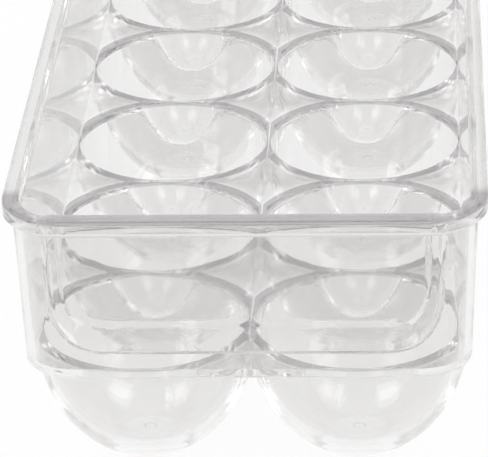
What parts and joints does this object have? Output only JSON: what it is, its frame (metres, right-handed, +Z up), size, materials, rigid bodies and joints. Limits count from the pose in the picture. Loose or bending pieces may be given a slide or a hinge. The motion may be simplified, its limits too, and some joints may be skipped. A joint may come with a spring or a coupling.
{
  "type": "egg holder tray",
  "caption": "Long clear plastic tray with two columns of round-bottomed egg cups in its deck, drafted walls, a flanged rim and a finger grip at each end.",
  "frame": {"origin": "bottom centre of the tray: midway between the ends and the sides, level with the flat feet of the egg cups", "axes": "+X to the right across the tray, +Y along its length towards the back, +Z up"},
  "size_m": [0.108, 0.3554, 0.0702],
  "materials": {
    "clear_plastic": "clear, colourless, high gloss, moulded"
  },
  "bodies": {
    "root": {"egg_cup_1_left": "clear_plastic", "egg_cup_1_right": "clear_plastic", "egg_cup_2_left": "clear_plastic", "egg_cup_2_right": "clear_plastic", "egg_cup_3_left": "clear_plastic", "egg_cup_3_right": "clear_plastic", "egg_cup_4_left": "clear_plastic", "egg_cup_4_right": "clear_plastic", "egg_cup_5_left": "clear_plastic", "egg_cup_5_right": "clear_plastic", "egg_cup_6_left": "clear_plastic", "egg_cup_6_right": "clear_plastic", "egg_cup_7_left": "clear_plastic", "egg_cup_7_right": "clear_plastic", "side_wall_left": "clear_plastic", "side_wall_right": "clear_plastic", "end_wall_front": "clear_plastic", "end_wall_back": "clear_plastic", "finger_grip_front": "clear_plastic", "finger_grip_back": "clear_plastic", "corner_wall_front_left": "clear_plastic", "corner_wall_front_right": "clear_plastic", "corner_wall_back_left": "clear_plastic", "corner_wall_back_right": "clear_plastic", "side_rim_left": "clear_plastic", "side_rim_right": "clear_plastic", "handle_bar_front": "clear_plastic", "handle_bar_back": "clear_plastic", "rim_corner_front_left": "clear_plastic", "rim_corner_front_right": "clear_plastic", "rim_corner_back_left": "clear_plastic", "rim_corner_back_right": "clear_plastic"}
  },
  "joints": []
}
